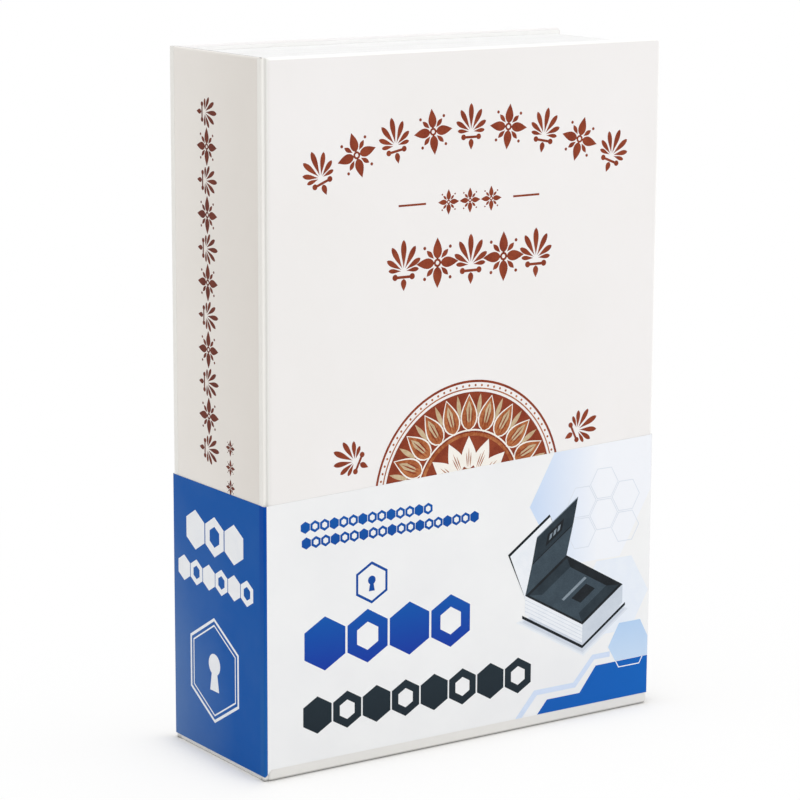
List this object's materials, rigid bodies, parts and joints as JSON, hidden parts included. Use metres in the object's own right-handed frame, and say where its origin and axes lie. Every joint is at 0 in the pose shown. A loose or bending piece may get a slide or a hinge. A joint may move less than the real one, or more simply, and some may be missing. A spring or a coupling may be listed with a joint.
{
  "type": "book diversion safe",
  "caption": "Hollow hardcover book that hides a lined box under its front cover, with a folding inner lid, a combination lock with number dials and a printed paper band.",
  "frame": {"origin": "middle of the tail of the closed book, on the surface it stands on", "axes": "+Z from tail to head, -Y out of the front cover, -X out of the spine, +X to the fore-edge"},
  "size_m": [0.1596, 0.059, 0.236],
  "materials": {
    "case_laminate": "satin laminate on board",
    "endpaper": "matt",
    "band_paper": "satin print",
    "slate_paper": "matt paper on board",
    "page_paper": "matt, printed with page lines",
    "flock": "flocked",
    "tape_cloth": "book cloth",
    "black_plastic": "fine grain",
    "dial_plastic": "satin",
    "steel": "nickel plated"
  },
  "bodies": {
    "box": {"back_cover_board": "case_laminate", "spine_board": "case_laminate", "front_joint_strip": "case_laminate", "back_joint_strip": "case_laminate", "band_rear": "band_paper", "tray_floor": "slate_paper", "tray_wall_spine": "slate_paper", "tray_wall_fore_edge": "slate_paper", "tray_wall_tail": "slate_paper", "tray_wall_head": "slate_paper", "page_wrap": "page_paper", "floor_lining": "flock", "lining_spine": "flock", "lining_fore_edge": "flock", "lining_tail": "flock", "lining_head": "flock", "lid_hinge_tape": "tape_cloth", "strike_plate": "steel", "strike_rivet_1": "steel", "strike_rivet_2": "steel"},
    "front_cover": {"front_cover_board": "case_laminate", "front_endpaper": "endpaper", "band_front": "band_paper"},
    "lid_rear": {"lid_rear_panel": "slate_paper", "lid_rear_lining": "flock", "lid_fold_tape": "tape_cloth"},
    "lid_front": {"lid_front_panel": "slate_paper", "lid_front_lining": "flock", "lock_face_plate": "black_plastic", "lock_housing": "black_plastic", "dial_axle": "steel", "detent_spring": "steel", "lock_screw_1": "steel", "lock_screw_2": "steel", "lock_screw_3": "steel", "lock_screw_4": "steel"},
    "bolt": {"lock_bolt": "steel", "thumb_slider": "steel"},
    "dial_1": {"number_dial_1": "dial_plastic"},
    "dial_2": {"number_dial_2": "dial_plastic"},
    "dial_3": {"number_dial_3": "dial_plastic"}
  },
  "joints": [
    {"name": "cover_hinge", "type": "hinge", "parent": "box", "child": "front_cover", "pos_m": [-0.0791, -0.02805, 0.118], "axis": [0, 0, -1], "range_deg": [0, 179]},
    {"name": "lid_hinge", "type": "hinge", "parent": "box", "child": "lid_rear", "pos_m": [-0.0755, -0.0235, 0.118], "axis": [0, 0, -1], "range_deg": [0, 110]},
    {"name": "lid_fold", "type": "hinge", "parent": "lid_rear", "child": "lid_front", "pos_m": [0.0045, -0.0235, 0.118], "axis": [0, 0, -1], "range_deg": [0, 20]},
    {"name": "bolt_slide", "type": "slide", "parent": "lid_front", "child": "bolt", "axis": [0, 0, 1], "range_m": [0, 0.005]},
    {"name": "dial_1_turn", "type": "hinge", "parent": "lid_front", "child": "dial_1", "pos_m": [0.052, -0.0189, 0.099], "axis": [0, 0, 1], "continuous": true},
    {"name": "dial_2_turn", "type": "hinge", "parent": "lid_front", "child": "dial_2", "pos_m": [0.052, -0.0189, 0.106], "axis": [0, 0, 1], "continuous": true},
    {"name": "dial_3_turn", "type": "hinge", "parent": "lid_front", "child": "dial_3", "pos_m": [0.052, -0.0189, 0.113], "axis": [0, 0, 1], "continuous": true}
  ],
  "couplings": [
    {"joint": "lid_hinge", "follows": "cover_hinge", "ratio": 0.6145},
    {"joint": "lid_fold", "follows": "cover_hinge", "ratio": 0.1117}
  ]
}
